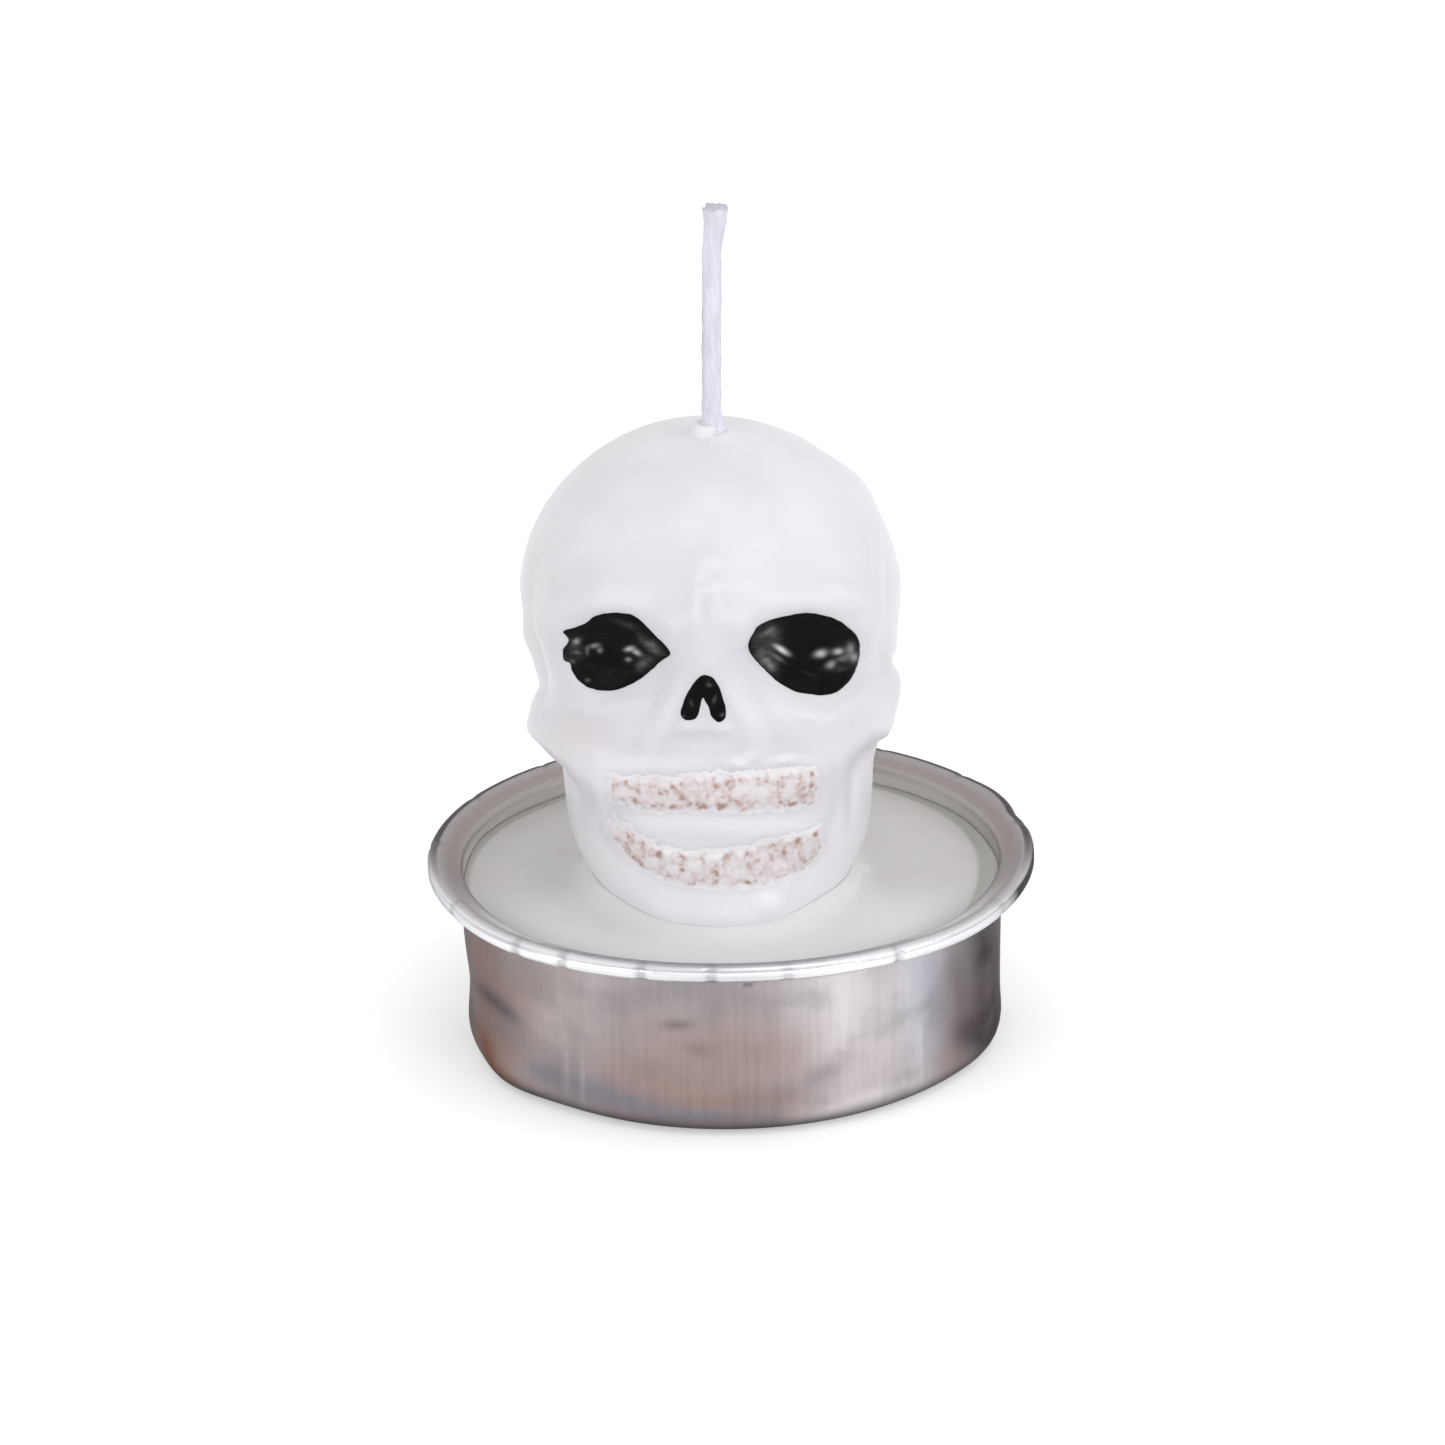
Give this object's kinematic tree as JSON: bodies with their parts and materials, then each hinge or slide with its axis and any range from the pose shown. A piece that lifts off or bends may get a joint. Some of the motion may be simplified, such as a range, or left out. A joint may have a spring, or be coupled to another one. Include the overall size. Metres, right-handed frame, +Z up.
{
  "type": "skull candle in a tealight cup",
  "caption": "Small moulded wax skull candle with black eye sockets and brown-brushed teeth, set in a wax-filled aluminium tealight cup, with one upright wick.",
  "frame": {"origin": "centre of the cup's flat underside", "axes": "+Z up along the candle, the skull's face looks along -Y, +X is on the viewer's right"},
  "size_m": [0.0419, 0.0416, 0.0591],
  "materials": {
    "aluminium": "bright drawn sheet with fine upright streaks",
    "tinned_steel": "plain tinned sheet",
    "fill_wax": "smooth, greyish, half-clear wax",
    "skull_wax": "softly glossy white wax with a lilac cast",
    "black_enamel": "wet-looking gloss black",
    "brown_stain": "dry-brushed pinkish brown",
    "waxed_cotton": "waxed white cotton"
  },
  "bodies": {
    "root": {"tealight_cup": "aluminium", "wick_sustainer": "tinned_steel", "wax_fill": "fill_wax", "skull": "skull_wax", "eye_enamel_left": "black_enamel", "eye_enamel_right": "black_enamel", "nose_enamel": "black_enamel", "upper_teeth_stain": "brown_stain", "lower_teeth_stain": "brown_stain", "wick": "waxed_cotton"}
  },
  "joints": []
}
